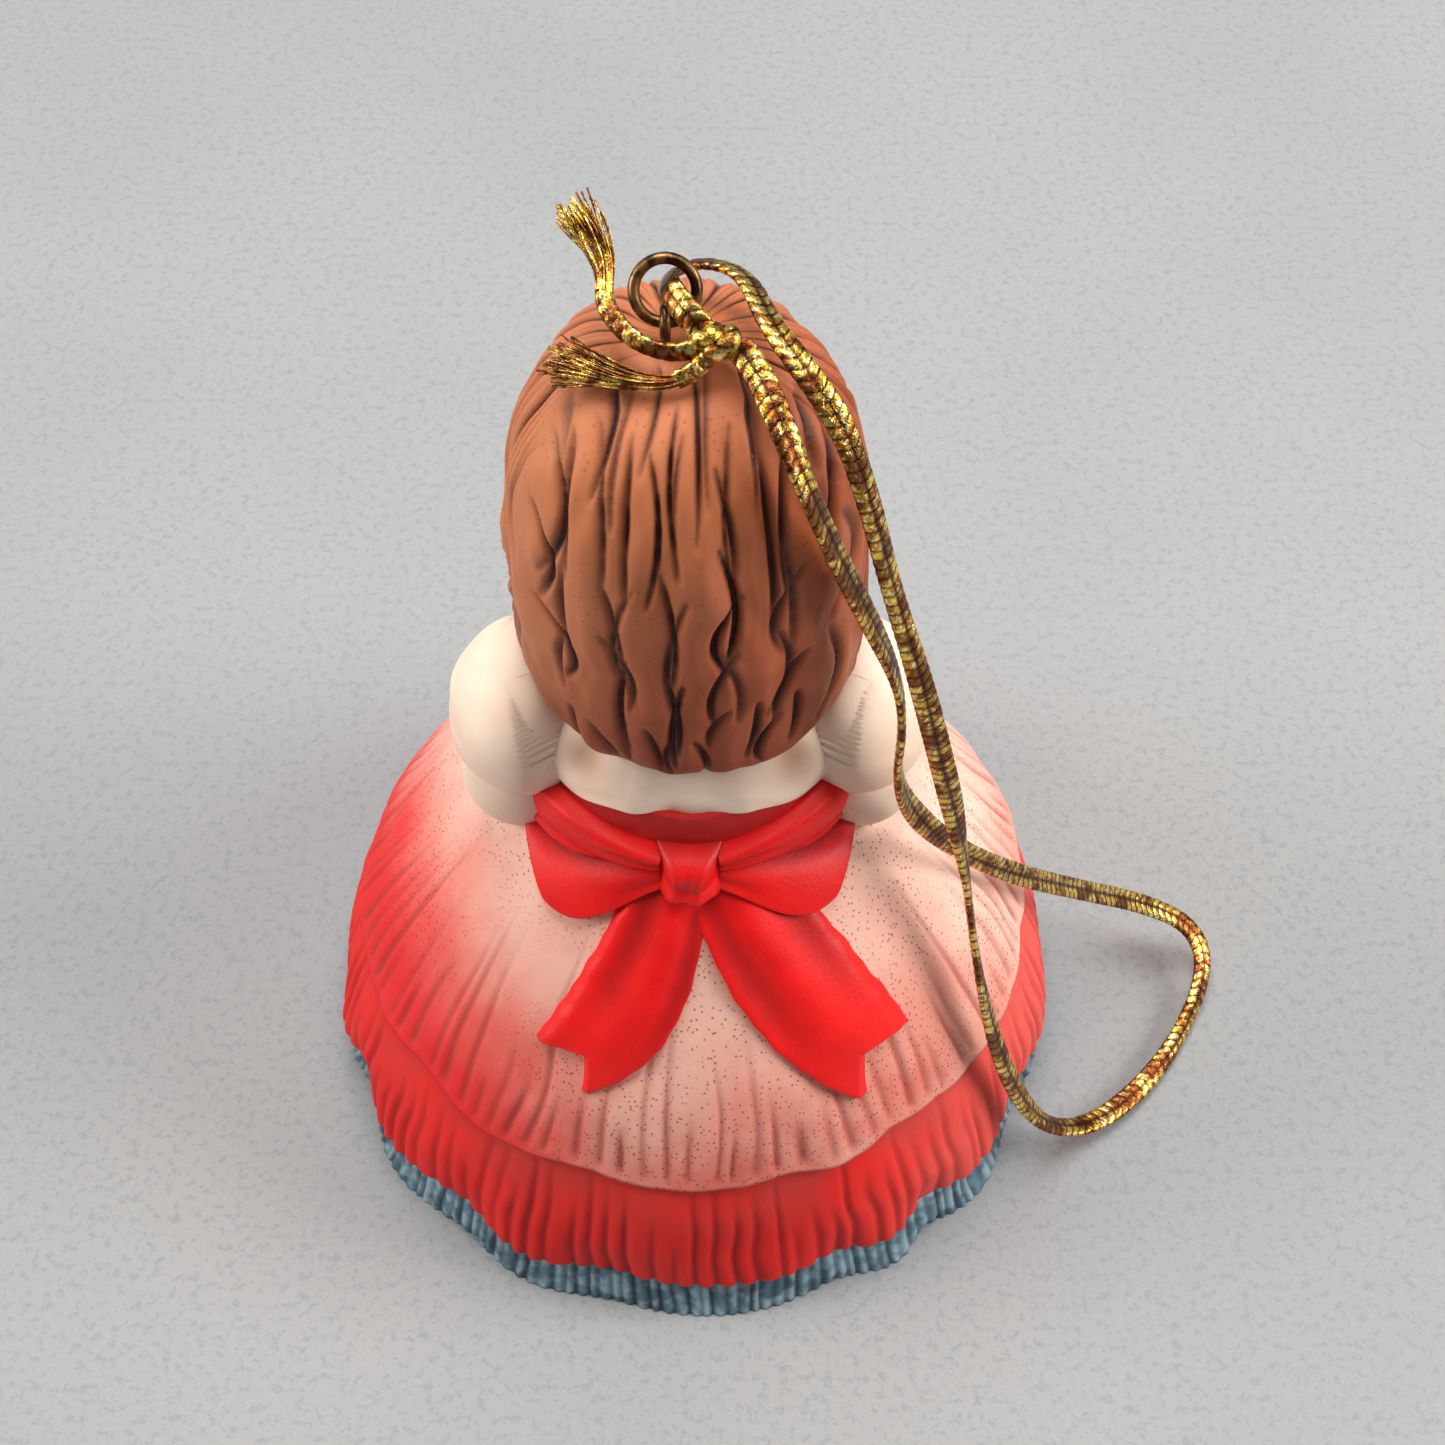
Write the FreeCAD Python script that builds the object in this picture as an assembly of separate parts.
import FreeCAD, Part
import math
import os
from FreeCAD import Matrix, Vector

# A hanging Christmas bell: a porcelain girl in a long tiered dress.  The dress is the bell, a clapper hangs
# from a wire through the figure, and a gold cord is tied to the ring on the crown.
# Millimetres.  Z is up, the origin is at the middle of the base rim, and the face looks toward -Y.

# ---- driving dimensions: dress ------------------------------------------------------------------------
HEM_R = 32.0            # radius of the flounce at its hem, the widest part of the bell
HEM_Z = 4.5             # height of the flounce's hem
PETTICOAT_FLARE = 0.6   # the petticoat's foot stands out this far past the flounce's hem
PETTICOAT_TUCK = 0.8    # and its top lies this far inside it
OVERSKIRT_Z = 16.0      # height of the overskirt's hem
HEM_LIP = 0.7           # how far the overskirt's hem stands out from the flounce
WAIST_R = 12.3
WAIST_Z = 40.0
WALL = 2.2              # thickness of the cast porcelain
PASSAGE_R = 7.0         # hollow of the body, above the bell

# ---- driving dimensions: body -------------------------------------------------------------------------
SASH_H = 6.3
SASH_T = 0.9
CHEST_INSET = 0.1       # the chest lies this far inside the sash
CHEST_RISE = 2.9        # from the sash's top to the chest
BLOUSE_H = 5.2          # from the sash's top to the shoulders
SHOULDER_R = 9.0
NECK_R = 5.0
NECK_BORE_R = 3.0
COLLAR_R = 8.8
COLLAR_H = 1.2
CHIN_RISE = 0.5         # from the shoulders to the foot of the head
HEAD_R = 11.4
HEAD_HALF_H = 14.0
HAIR_T = 2.05           # thickness of the hair round the head
HAIR_DROP = 4.0         # the hair is widest this far under the middle of the head
CROWN_T = 3.3           # thickness of the hair on the top of the head
CROWN_FLAT_R = 2.4      # flat at the very crown, where the wire comes out
HAIR_FALL = 2.9         # the hair falls this far past the shoulders
HAIR_TOP_POWER = 2.9    # how square the hair is above its widest part
HAIR_HEM_POWER = 4.0    # and below it
COLLAR_ROOM = 0.6       # between the collar and the hair round it
FACE_HALF_W = 8.2
FACE_H = 10.0           # from the middle of the head to the top of the face's opening
FACE_DEPTH_Y = -4.0     # the hair is open in front of this plane
FRINGE_H = 6.5
FRINGE_PROUD = 0.4

# ---- driving dimensions: arms, from the waist's edge --------------------------------------------------
PUFF_OUT = (0.3, 1.5, 5.2)
PUFF_SIZE = Vector(5.8, 6.6, 7.4)
ELBOW_OUT = (1.0, 3.4, -0.2)
ELBOW_R = 4.7
WRIST_X = 5.6
WRIST_AHEAD = 1.3       # in front of the waist
WRIST_RISE = 2.0
WRIST_R = 3.0
CUFF_R = 3.5
CUFF_LENGTH = 1.6
HAND_SIZE = Vector(2.7, 3.2, 2.4)
HAND_REACH = 2.6        # from the cuff to the middle of the hand
HAND_GAP = 0.02

# ---- driving dimensions: bow --------------------------------------------------------------------------
BOW_LOOP_T = 2.6
BOW_TAIL_T = 1.3
BOW_KNOT_T = 3.4
BOW_KNOT_HALF_W = 2.3
BOW_KNOT_SPAN = (-1.4, 2.6)     # the knot's foot and top, above the waist
BOW_TAIL_TOP = -1.2             # where a tail starts, above the waist
BOW_TAIL_ROOT_W = 6.0
BOW_TAIL_END_W = 4.5
BOW_TAIL_BELLY = 2.0            # added to a tail's width half way down
BOW_TAIL_NOTCH = 2.8
TAIL_LEFT_START = 1.0           # out from the middle
TAIL_LEFT_LENGTH = 17.0
TAIL_LEFT_LEAN = 35.0           # degrees from straight down
TAIL_LEFT_BEND = 1.5
TAIL_RIGHT_START = 2.4
TAIL_RIGHT_LENGTH = 21.0
TAIL_RIGHT_LEAN = 40.0
TAIL_RIGHT_BEND = 0.5

# ---- driving dimensions: hanging wire, ring and clapper -----------------------------------------------
WIRE_D = 0.7
EYE_R = 0.95            # from the middle of an eye to the middle of its wire
RING_WIRE_D = 0.8
HANGER_X = 1.2          # the crown's hole is a little off the middle
CROWN_EYE_RISE = 1.7    # from the crown to the eye's middle
LOWER_EYE_DROP = 4.0    # from the waist down to the lower eye's middle
HOLE_GAP = 0.15         # round the wire, in the crown
RING_R = 2.05           # middle of the ring to the middle of its wire
RING_LEAN = 44.0        # degrees that the ring leans back from upright
PLUG_H = 3.3            # of the plaster that holds the wire in the crown
LINK_LENGTH = 17.0      # from the lower eye to the clapper's eye
BEAD_R = 4.3
BEAD_NECK = 1.2         # wire between the clapper's eye and its bead
BEAD_FOOT_R = 0.9
BEAD_FOOT_H = 0.7

# ---- sizes that follow --------------------------------------------------------------------------------
PETTICOAT_R = HEM_R + PETTICOAT_FLARE
PETTICOAT_TOP_R = HEM_R - PETTICOAT_TUCK
SASH_TOP_Z = WAIST_Z + SASH_H
SHOULDER_Z = SASH_TOP_Z + BLOUSE_H
HEAD_Z = SHOULDER_Z + CHIN_RISE + HEAD_HALF_H
HAIR_R = HEAD_R + HAIR_T
HAIR_Z = HEAD_Z - HAIR_DROP
HAIR_HEM_Z = SHOULDER_Z - HAIR_FALL
HAIR_HEM_BORE_R = COLLAR_R + COLLAR_ROOM
CROWN_Z = HEAD_Z + HEAD_HALF_H + CROWN_T
FACE_TOP_Z = HEAD_Z + FACE_H
FRINGE_Z = FACE_TOP_Z - FRINGE_H
PUFF_AT = Vector(WAIST_R + PUFF_OUT[0], PUFF_OUT[1], WAIST_Z + PUFF_OUT[2])
ELBOW_AT = Vector(WAIST_R + ELBOW_OUT[0], ELBOW_OUT[1], WAIST_Z + ELBOW_OUT[2])
WRIST_AT = Vector(WRIST_X, -WAIST_R - WRIST_AHEAD, WAIST_Z + WRIST_RISE)
CROWN_EYE_Z = CROWN_Z + CROWN_EYE_RISE
LOWER_EYE_Z = WAIST_Z - LOWER_EYE_DROP
PLUG_Z = HEAD_Z + HEAD_HALF_H - WALL - PLUG_H

# ---- driving dimensions: cord -------------------------------------------------------------------------
CORD_D = 1.9
TAIL_D = 1.3
KNOT_AT = Vector(-2.2, 2.4, 85.6)
KNOT_R = 1.8
FULL_TURN = 360.0
UP = Vector(0, 0, 1)

# From the knot through the ring, over the crown, down beside the skirt, round on the table and back.
CORD_ROUTE = [
    (-1.3, 2.1, 86.2), (0.9, 0.1, 87.8), (1.1, -3.2, 86.0), (-1.0, -5.0, 85.7), (-4.0, -3.6, 86.0),
    (-5.5, 0.9, 85.8), (-7.7, 3.9, 84.8), (-10.2, 6.5, 82.3), (-12.1, 7.9, 76.7), (-14.0, 8.8, 68.5),
    (-16.2, 10.5, 61.5), (-18.4, 10.7, 52.0), (-21.3, 9.7, 37.5), (-22.7, 13.4, 28.8), (-24.1, 16.4, 22.8),
    (-26.0, 17.8, 16.5), (-28.4, 18.0, 9.8), (-31.1, 17.3, 4.6), (-34.2, 16.1, 1.8), (-37.7, 14.0, 1.1),
    (-41.4, 10.5, 1.1), (-44.6, 5.9, 1.2), (-46.7, 1.6, 1.7), (-47.2, -1.6, 2.8), (-45.5, -3.9, 4.3),
    (-40.7, -3.8, 7.8), (-33.8, -0.4, 15.4), (-26.3, 4.6, 26.0), (-20.6, 7.1, 34.2), (-17.0, 9.2, 42.0),
    (-15.4, 10.4, 48.3), (-15.7, 9.5, 53.4), (-15.1, 8.6, 58.0), (-12.9, 9.2, 65.0), (-10.2, 10.4, 73.3),
    (-8.0, 10.2, 79.9), (-6.4, 8.1, 83.4), (-4.8, 4.6, 85.2), (-3.6, 2.9, 85.6)]
# The frayed end that curls round beside the ring and stands up.
UPPER_END_ROUTE = [
    (-1.0, 3.0, 85.5), (1.2, 3.1, 85.3), (3.4, 2.0, 85.5), (5.2, -0.3, 86.2), (5.0, -2.8, 87.1),
    (6.0, -4.3, 88.6), (7.3, -5.6, 90.0)]
# The frayed end that lies across the crown.
LOWER_END_ROUTE = [(-1.4, 3.9, 84.6), (1.0, 4.7, 84.2), (3.6, 4.2, 84.0), (6.2, 2.9, 83.9), (8.3, 1.7, 83.6)]


# ---- shared shapes ------------------------------------------------------------------------------------
def skirt_radius(z):
    """The dress's dome: a quarter of a cosine from the hem to the waist."""
    share = (z - HEM_Z) / (WAIST_Z - HEM_Z)
    return WAIST_R + (HEM_R - WAIST_R) * math.cos(0.5 * math.pi * share)


def skirt_inner_radius(z):
    """The inside of the dome, one wall thickness in from it along its normal."""
    share = (z - HEM_Z) / (WAIST_Z - HEM_Z)
    slope = (HEM_R - WAIST_R) * 0.5 * math.pi / (WAIST_Z - HEM_Z) * math.sin(0.5 * math.pi * share)
    return skirt_radius(z) - WALL * math.sqrt(1.0 + slope * slope)


def hair_radius(z, proud=0.0):
    """The hair's outside: a super-ellipse, squarer below its widest part than above it."""
    if z >= HAIR_Z:
        share, power = (z - HAIR_Z) / (CROWN_Z + proud - HAIR_Z), HAIR_TOP_POWER
    else:
        share, power = (HAIR_Z - z) / (HAIR_Z - HAIR_HEM_Z), HAIR_HEM_POWER
    return (HAIR_R + proud) * max(0.0, 1.0 - share ** power) ** (1.0 / power)


def outline(radius_at, z_from, z_to, steps=10):
    """A smooth edge in the XZ plane that follows radius_at from one height to another."""
    heights = [z_from + (z_to - z_from) * i / steps for i in range(steps + 1)]
    curve = Part.BSplineCurve()
    curve.interpolate([Vector(radius_at(z), 0, z) for z in heights])
    return curve.toShape()


def corners(*points):
    """Straight edges in the XZ plane through (radius, height) points."""
    places = [Vector(r, 0, z) for r, z in points]
    return [Part.makeLine(a, b) for a, b in zip(places, places[1:])]


def turned(edges):
    """A solid turned about the Z axis from a closed outline."""
    wire = Part.Wire(Part.__sortEdges__(edges))
    return Part.Face(wire).revolve(Vector(0, 0, 0), UP, FULL_TURN)


def ellipsoid(middle, size):
    """A ball stretched to three half sizes."""
    stretch = Matrix()
    stretch.scale(size)
    ball = Part.makeSphere(1.0).transformGeometry(stretch)
    ball.translate(middle)
    return ball


def box_between(low, high):
    return Part.makeBox(high.x - low.x, high.y - low.y, high.z - low.z, low)


def mirrored(vector, side):
    return Vector(side * vector.x, vector.y, vector.z)


def without(shape, *others):
    """The largest piece of a shape that is left outside all the others."""
    for other in others:
        if shape.BoundBox.intersect(other.BoundBox):
            shape = shape.cut(other)
    return max(shape.Solids, key=lambda solid: solid.Volume)


def ring_of_wire(middle, axis, radius, wire_d=WIRE_D):
    return Part.makeTorus(radius, wire_d / 2, middle, axis)


def rod(start, end, radius):
    way = end - start
    return Part.makeCylinder(radius, way.Length, start, way)


def fused(*shapes):
    return shapes[0].multiFuse(list(shapes[1:])).removeSplitter().Solids[0]


def tube_along(route, diameter, name):
    """A round tube along straight runs joined by tangent arcs, each as large as its two runs allow."""
    places = [Vector(*p) for p in route]
    edges, start, radii = [], places[0], []
    for before, corner, after in zip(places, places[1:], places[2:]):
        inward, outward = (before - corner), (after - corner)
        reach = 0.45 * min(inward.Length, outward.Length)
        inward.normalize()
        outward.normalize()
        half_turn = 0.5 * (math.pi - inward.getAngle(outward))
        radius = reach / math.tan(half_turn)
        radii.append(round(radius, 1))
        bisector = (inward + outward).normalize()
        to_middle = radius * (1.0 / math.cos(half_turn) - 1.0)
        first, last = corner + inward * reach, corner + outward * reach
        edges.append(Part.LineSegment(start, first).toShape())
        edges.append(Part.Arc(first, corner + bisector * to_middle, last).toShape())
        start = last
    edges.append(Part.LineSegment(start, places[-1]).toShape())
    path = Part.Wire(edges)
    mouth = Part.Wire(Part.makeCircle(diameter / 2, places[0], places[1] - places[0]))
    tube = path.makePipeShell([mouth], True, False)
    expected = math.pi * diameter ** 2 / 4 * path.Length
    print(f"{name}: length {path.Length:.1f}, volume {tube.Volume / expected:.4f} of section x length")
    print(f"{name}: radii {radii}")
    return tube


def dress_form():
    """The dress from its overskirt's hem to the sash's top as one solid form."""
    foot = corners((0, OVERSKIRT_Z), (skirt_radius(OVERSKIRT_Z), OVERSKIRT_Z))
    top = corners((WAIST_R, WAIST_Z), (WAIST_R, SASH_TOP_Z), (0, SASH_TOP_Z), (0, OVERSKIRT_Z))
    return turned([outline(skirt_radius, OVERSKIRT_Z, WAIST_Z)] + foot + top)


def layer_on_dress(thickness):
    """A layer of even thickness all round the outside of the dress."""
    inner = outline(skirt_radius, OVERSKIRT_Z, WAIST_Z)
    outer = outline(lambda z: skirt_radius(z) + thickness, OVERSKIRT_Z, WAIST_Z)
    foot_r = skirt_radius(OVERSKIRT_Z)
    foot = corners((foot_r, OVERSKIRT_Z), (foot_r + thickness, OVERSKIRT_Z))
    top = corners((WAIST_R, WAIST_Z), (WAIST_R, SASH_TOP_Z), (WAIST_R + thickness, SASH_TOP_Z),
                  (WAIST_R + thickness, WAIST_Z))
    return turned([inner, outer] + foot + top)


def lying_on_dress(points, thickness):
    """An outline of places across and up from the waist, laid on the dress's back with a thickness."""
    places = [Vector(x, 0, WAIST_Z + rise) for x, rise in points]
    prism = Part.Face(Part.makePolygon(places + places[:1])).extrude(Vector(0, HEM_R + thickness, 0))
    return prism.common(layer_on_dress(thickness)).Solids[0]


# ---- the dress ----------------------------------------------------------------------------------------
def make_petticoat():
    inner = skirt_inner_radius(HEM_Z)
    return turned(corners((inner, 0), (PETTICOAT_R, 0), (PETTICOAT_TOP_R, HEM_Z), (inner, HEM_Z), (inner, 0)))


def make_flounce():
    def outside(z):
        return skirt_radius(z) - HEM_LIP * (z - HEM_Z) / (OVERSKIRT_Z - HEM_Z)
    outer = outline(outside, HEM_Z, OVERSKIRT_Z)
    inner = outline(skirt_inner_radius, HEM_Z, OVERSKIRT_Z)
    foot = corners((skirt_inner_radius(HEM_Z), HEM_Z), (outside(HEM_Z), HEM_Z))
    top = corners((skirt_inner_radius(OVERSKIRT_Z), OVERSKIRT_Z), (outside(OVERSKIRT_Z), OVERSKIRT_Z))
    return turned([outer, inner] + foot + top)


def make_overskirt():
    outer = outline(skirt_radius, OVERSKIRT_Z, WAIST_Z)
    inner = outline(skirt_inner_radius, OVERSKIRT_Z, WAIST_Z)
    foot = corners((skirt_inner_radius(OVERSKIRT_Z), OVERSKIRT_Z), (skirt_radius(OVERSKIRT_Z), OVERSKIRT_Z))
    top = corners((skirt_inner_radius(WAIST_Z), WAIST_Z), (skirt_radius(WAIST_Z), WAIST_Z))
    return turned([outer, inner] + foot + top)


def make_sash():
    low, high = WAIST_R - SASH_T, WAIST_R
    return turned(corners((low, WAIST_Z), (high, WAIST_Z), (high, SASH_TOP_Z), (low, SASH_TOP_Z), (low, WAIST_Z)))


def chest_edge():
    waist = WAIST_R - SASH_T
    middle = Vector(waist - CHEST_INSET, 0, SASH_TOP_Z + CHEST_RISE)
    return Part.Arc(Vector(waist, 0, SASH_TOP_Z), middle, Vector(SHOULDER_R, 0, SHOULDER_Z)).toShape()


def torso_form():
    """The body under the blouse, as one solid form."""
    rest = corners((SHOULDER_R, SHOULDER_Z), (0, SHOULDER_Z), (0, SASH_TOP_Z), (WAIST_R - SASH_T, SASH_TOP_Z))
    return turned([chest_edge()] + rest)


def make_bodice():
    waist = WAIST_R - SASH_T
    ceiling = SHOULDER_Z - WALL
    inside = corners((SHOULDER_R, SHOULDER_Z), (NECK_BORE_R, SHOULDER_Z), (NECK_BORE_R, ceiling),
                     (PASSAGE_R, ceiling - WALL), (PASSAGE_R, WAIST_Z), (waist, WAIST_Z), (waist, SASH_TOP_Z))
    return turned([chest_edge()] + inside)


def make_collar():
    foot, top = SHOULDER_Z, SHOULDER_Z + COLLAR_H
    return turned(corners((NECK_R, foot), (COLLAR_R, foot), (COLLAR_R - COLLAR_H / 2, top), (NECK_R, top),
                          (NECK_R, foot)))


# ---- the head -----------------------------------------------------------------------------------------
def head_form(shrink=0.0):
    """The head as an ellipse turned about the Z axis."""
    middle, half_h = Vector(0, 0, HEAD_Z), HEAD_HALF_H - shrink
    ellipse = Part.Ellipse(middle + UP * half_h, middle + Vector(HEAD_R - shrink, 0, 0), middle)
    side = Part.ArcOfEllipse(ellipse, 0, math.pi).toShape()
    return turned([side] + corners((0, HEAD_Z - half_h), (0, HEAD_Z + half_h)))


def crown_hole(z_from):
    return rod(Vector(HANGER_X, 0, z_from), Vector(HANGER_X, 0, CROWN_Z + 1.0), WIRE_D / 2 + HOLE_GAP)


def make_head():
    neck = Part.makeCylinder(NECK_R, HEAD_Z - SHOULDER_Z, Vector(0, 0, SHOULDER_Z))
    bore = Part.makeCylinder(NECK_BORE_R, HEAD_Z - SHOULDER_Z, Vector(0, 0, SHOULDER_Z))
    return without(head_form().fuse(neck), head_form(WALL).fuse(bore), crown_hole(HEAD_Z))


def hair_form(proud=0.0):
    """The hair as one solid form, flat at the very crown; its seam is turned toward the open face."""
    foot_z, cap_z, top_z = HAIR_HEM_Z + 0.5, CROWN_Z + proud - 1.6, CROWN_Z + proud
    cap_r, foot_r = hair_radius(cap_z, proud), hair_radius(foot_z, proud)
    above = outline(lambda z: hair_radius(z, proud), HAIR_Z, cap_z)
    below = outline(lambda z: hair_radius(z, proud), foot_z, HAIR_Z)
    shoulder = Vector(0.5 * (cap_r + CROWN_FLAT_R), 0, top_z - 0.45)
    cap = Part.Arc(Vector(cap_r, 0, cap_z), shoulder, Vector(CROWN_FLAT_R, 0, top_z)).toShape()
    rest = corners((foot_r, foot_z), (foot_r - 0.8, HAIR_HEM_Z), (0, HAIR_HEM_Z), (0, top_z), (CROWN_FLAT_R, top_z))
    form = turned([above, cap, below] + rest)
    form.rotate(Vector(0, 0, 0), UP, -FULL_TURN / 4)
    return form


def face_window(z_from, z_to):
    reach = HAIR_R + 1.0
    return box_between(Vector(-FACE_HALF_W, -reach, z_from), Vector(FACE_HALF_W, FACE_DEPTH_Y, z_to))


def make_hair(bodice, collar):
    neck_room = Part.makeCylinder(HAIR_HEM_BORE_R, HEAD_Z - HEAD_HALF_H + 2.0 - HAIR_HEM_Z, Vector(0, 0, HAIR_HEM_Z))
    window = face_window(HAIR_HEM_Z - 1.0, FACE_TOP_Z)
    return without(hair_form(), head_form(), neck_room, window, bodice, collar, crown_hole(HEAD_Z))


def make_fringe(hair):
    return without(hair_form(FRINGE_PROUD).common(face_window(FRINGE_Z, FACE_TOP_Z)), head_form(), hair)


# ---- the arms -----------------------------------------------------------------------------------------
def forearm(side):
    elbow, wrist = mirrored(ELBOW_AT, side), mirrored(WRIST_AT, side)
    way = wrist - elbow
    return fused(Part.makeSphere(ELBOW_R, elbow), Part.makeCone(ELBOW_R - 0.1, WRIST_R, way.Length, elbow, way))


def make_arm(side, *clear_of):
    """One arm's four pieces, each cut clear of the pieces made before it."""
    elbow, wrist = mirrored(ELBOW_AT, side), mirrored(WRIST_AT, side)
    way = (wrist - elbow).normalize()
    puff = without(ellipsoid(mirrored(PUFF_AT, side), PUFF_SIZE), *clear_of)
    cuff = without(rod(wrist, wrist + way * CUFF_LENGTH, CUFF_R), *clear_of)
    sleeve = without(forearm(side), puff, cuff, *clear_of)
    hand_at = wrist + way * (CUFF_LENGTH + HAND_REACH - 1.0)
    reach = CUFF_R + HAND_SIZE.Length + 10.0
    own_side = box_between(Vector(HAND_GAP / 2, -HEM_R, 0), Vector(reach, 0, CROWN_Z))
    if side < 0:
        own_side = own_side.mirror(Vector(0, 0, 0), Vector(1, 0, 0))
    hand = without(ellipsoid(hand_at, HAND_SIZE).common(own_side), cuff, *clear_of)
    return puff, sleeve, cuff, hand


# ---- the bow ------------------------------------------------------------------------------------------
# Outlines across the back and up from the waist.
LOOP_LEFT = [(BOW_KNOT_HALF_W, 2.0), (7.0, 3.4), (12.6, 3.0), (12.8, -0.6), (11.6, -4.0), (8.0, -5.4),
             (4.4, -3.4), (BOW_KNOT_HALF_W, -1.0)]
LOOP_RIGHT = [(-BOW_KNOT_HALF_W, 2.0), (-7.4, 3.4), (-12.6, 4.0), (-13.0, -0.2), (-12.4, -4.0), (-8.6, -5.2),
              (-5.0, -3.2), (-BOW_KNOT_HALF_W, -1.0)]


def tail_outline(side, start, length, lean, bend, steps=6):
    """A ribbon that leaves the knot, swings to its own side, is widest half way and ends in a notch."""
    down, out = math.cos(math.radians(lean)), math.sin(math.radians(lean))
    outer, inner = [], []
    for step in range(steps + 1):
        share = step / steps
        swell = math.sin(math.pi * share)
        half = (BOW_TAIL_ROOT_W + (BOW_TAIL_END_W - BOW_TAIL_ROOT_W) * share + BOW_TAIL_BELLY * swell) / 2
        for edge, across in ((outer, half - bend * swell), (inner, -half - bend * swell)):
            edge.append((side * (start + out * length * share + down * across),
                         BOW_TAIL_TOP - down * length * share + out * across))
    reach = length - BOW_TAIL_NOTCH
    notch = (side * (start + out * reach), BOW_TAIL_TOP - down * reach)
    return outer + [notch] + inner[::-1]


def make_bow():
    half, (low, high) = BOW_KNOT_HALF_W, BOW_KNOT_SPAN
    knot = lying_on_dress([(-half, low), (half, low), (half, high), (-half, high)], BOW_KNOT_T)
    left = tail_outline(1, TAIL_LEFT_START, TAIL_LEFT_LENGTH, TAIL_LEFT_LEAN, TAIL_LEFT_BEND)
    right = tail_outline(-1, TAIL_RIGHT_START, TAIL_RIGHT_LENGTH, TAIL_RIGHT_LEAN, TAIL_RIGHT_BEND)
    pieces = {"bow_knot": knot}
    parts = (("loop_left", LOOP_LEFT, BOW_LOOP_T), ("loop_right", LOOP_RIGHT, BOW_LOOP_T),
             ("tail_left", left, BOW_TAIL_T), ("tail_right", right, BOW_TAIL_T))
    for name, points, thickness in parts:
        pieces[f"bow_{name}"] = without(lying_on_dress(points, thickness), *pieces.values())
    return pieces


# ---- the wire, the ring and the clapper ---------------------------------------------------------------
def make_hanger():
    """One wire with an eye above the crown and an eye inside the bell."""
    top, low = Vector(HANGER_X, 0, CROWN_EYE_Z), Vector(HANGER_X, 0, LOWER_EYE_Z)
    shank = rod(low + UP * EYE_R, top - UP * EYE_R, WIRE_D / 2)
    return fused(shank, ring_of_wire(top, Vector(1, 0, 0), EYE_R), ring_of_wire(low, Vector(1, 0, 0), EYE_R))


def make_crown_plug():
    room = box_between(Vector(-HEAD_R, -HEAD_R, PLUG_Z), Vector(HEAD_R, HEAD_R, CROWN_Z))
    hole = rod(Vector(HANGER_X, 0, PLUG_Z - 1.0), Vector(HANGER_X, 0, CROWN_Z), WIRE_D / 2)
    return without(head_form(WALL).common(room), hole)


def make_ring():
    """The ring hangs in the crown's eye by its lowest point and leans back."""
    lean = math.radians(RING_LEAN)
    up_ring = Vector(0, -math.sin(lean), math.cos(lean))
    middle = Vector(HANGER_X, 0, CROWN_EYE_Z) + up_ring * RING_R
    return ring_of_wire(middle, Vector(0, math.cos(lean), math.sin(lean)), RING_R, RING_WIRE_D)


def make_clapper_link():
    """A wire whose upper eye turns in the lower eye of the hanger, and whose foot eye carries the bead."""
    top = Vector(HANGER_X, 0, LOWER_EYE_Z - EYE_R)
    foot = Vector(HANGER_X, 0, LOWER_EYE_Z - LINK_LENGTH)
    shank = rod(foot + UP * EYE_R, top - UP * EYE_R, WIRE_D / 2)
    return fused(shank, ring_of_wire(top, Vector(0, 1, 0), EYE_R), ring_of_wire(foot, Vector(0, 1, 0), EYE_R))


def bead_middle():
    return Vector(HANGER_X, 0, LOWER_EYE_Z - LINK_LENGTH - 2 * EYE_R - BEAD_NECK - BEAD_R)


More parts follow.
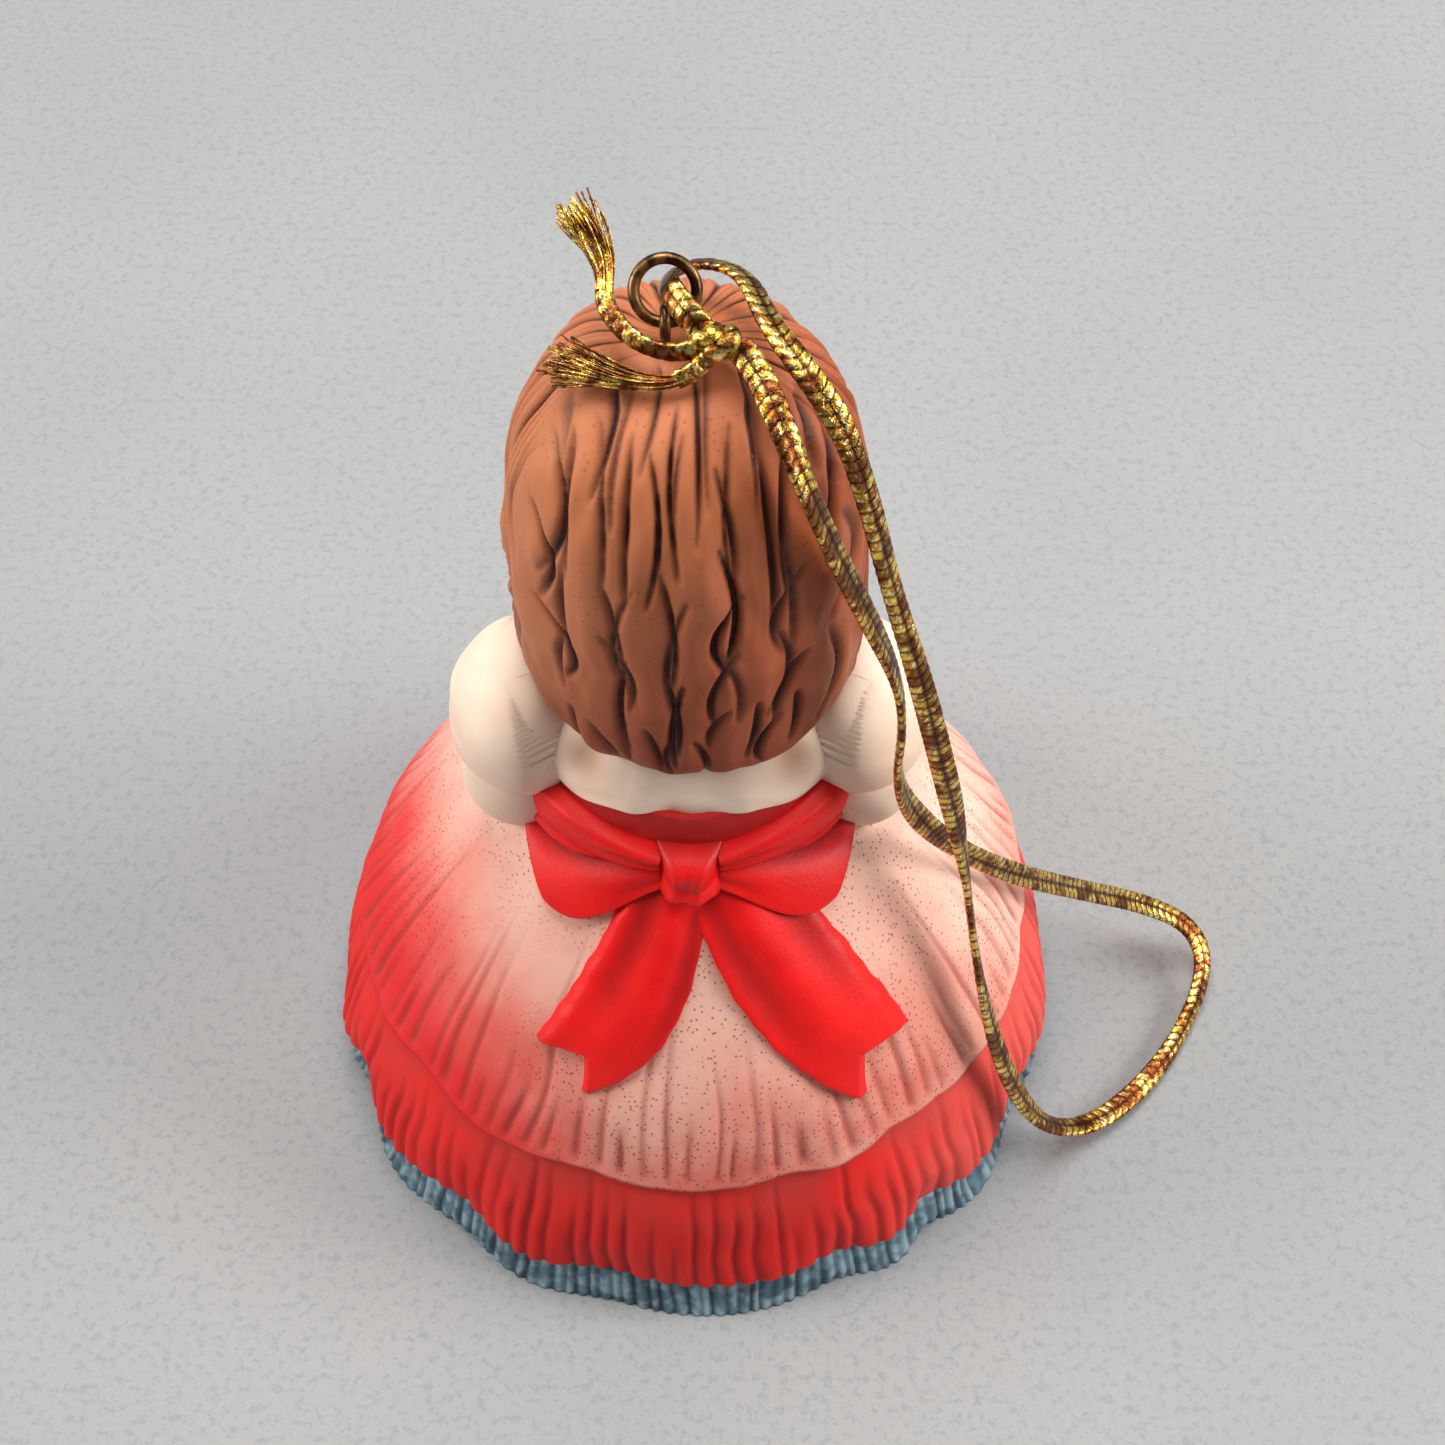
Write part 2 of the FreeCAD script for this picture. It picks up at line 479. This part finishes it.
def make_bead_wire():
    """The bead's wire: an eye above it and a flat foot below it."""
    eye = bead_middle() + UP * (BEAD_R + BEAD_NECK + EYE_R)
    foot = bead_middle() - UP * (BEAD_R + BEAD_FOOT_H)
    shank = rod(foot, eye - UP * EYE_R, WIRE_D / 2)
    disc = rod(foot, foot + UP * BEAD_FOOT_H, BEAD_FOOT_R)
    return fused(shank, ring_of_wire(eye, Vector(1, 0, 0), EYE_R), disc)


def make_bead(wire):
    return without(Part.makeSphere(BEAD_R, bead_middle()), wire)


# ---- the cord -----------------------------------------------------------------------------------------
def make_cord():
    knot = Part.makeSphere(KNOT_R, KNOT_AT)
    cord = without(tube_along(CORD_ROUTE, CORD_D, "gold cord"), knot)
    upper = without(tube_along(UPPER_END_ROUTE, TAIL_D, "upper end"), knot, cord)
    lower = without(tube_along(LOWER_END_ROUTE, TAIL_D, "lower end"), knot, cord, upper)
    return {"gold_cord": cord, "cord_knot": knot, "cord_end_upper": upper, "cord_end_lower": lower}


def make_everything():
    nodes = {"petticoat_frill": make_petticoat(), "red_flounce": make_flounce(), "overskirt": make_overskirt(),
             "sash_band": make_sash(), "bodice": make_bodice(), "collar": make_collar(), "head": make_head()}
    nodes["hair"] = make_hair(nodes["bodice"], nodes["collar"])
    nodes["hair_fringe"] = make_fringe(nodes["hair"])
    nodes.update(make_bow())
    forms = [dress_form(), torso_form(), hair_form(), nodes["collar"], nodes["bow_loop_left"], nodes["bow_loop_right"]]
    for name, side in (("left", 1), ("right", -1)):
        for piece, shape in zip(("puff_sleeve", "lower_sleeve", "cuff", "hand"), make_arm(side, *forms)):
            nodes[f"{piece}_{name}"] = shape
    nodes["hanger_wire"] = make_hanger()
    nodes["crown_plug"] = make_crown_plug()
    nodes["hanging_ring"] = make_ring()
    nodes["clapper_link"] = make_clapper_link()
    nodes["bead_wire"] = make_bead_wire()
    nodes["clapper_bead"] = make_bead(nodes["bead_wire"])
    nodes.update(make_cord())
    return nodes


os.makedirs("parts", exist_ok=True)
for node, solid in make_everything().items():
    if not solid.isValid() or solid.Volume <= 0:
        raise SystemExit(f"{node} is not a valid solid")
    solid.exportStep(f"parts/{node}.step")
    print(f"{node}: {solid.Volume:.2f} mm3, {len(solid.Solids)} solid")
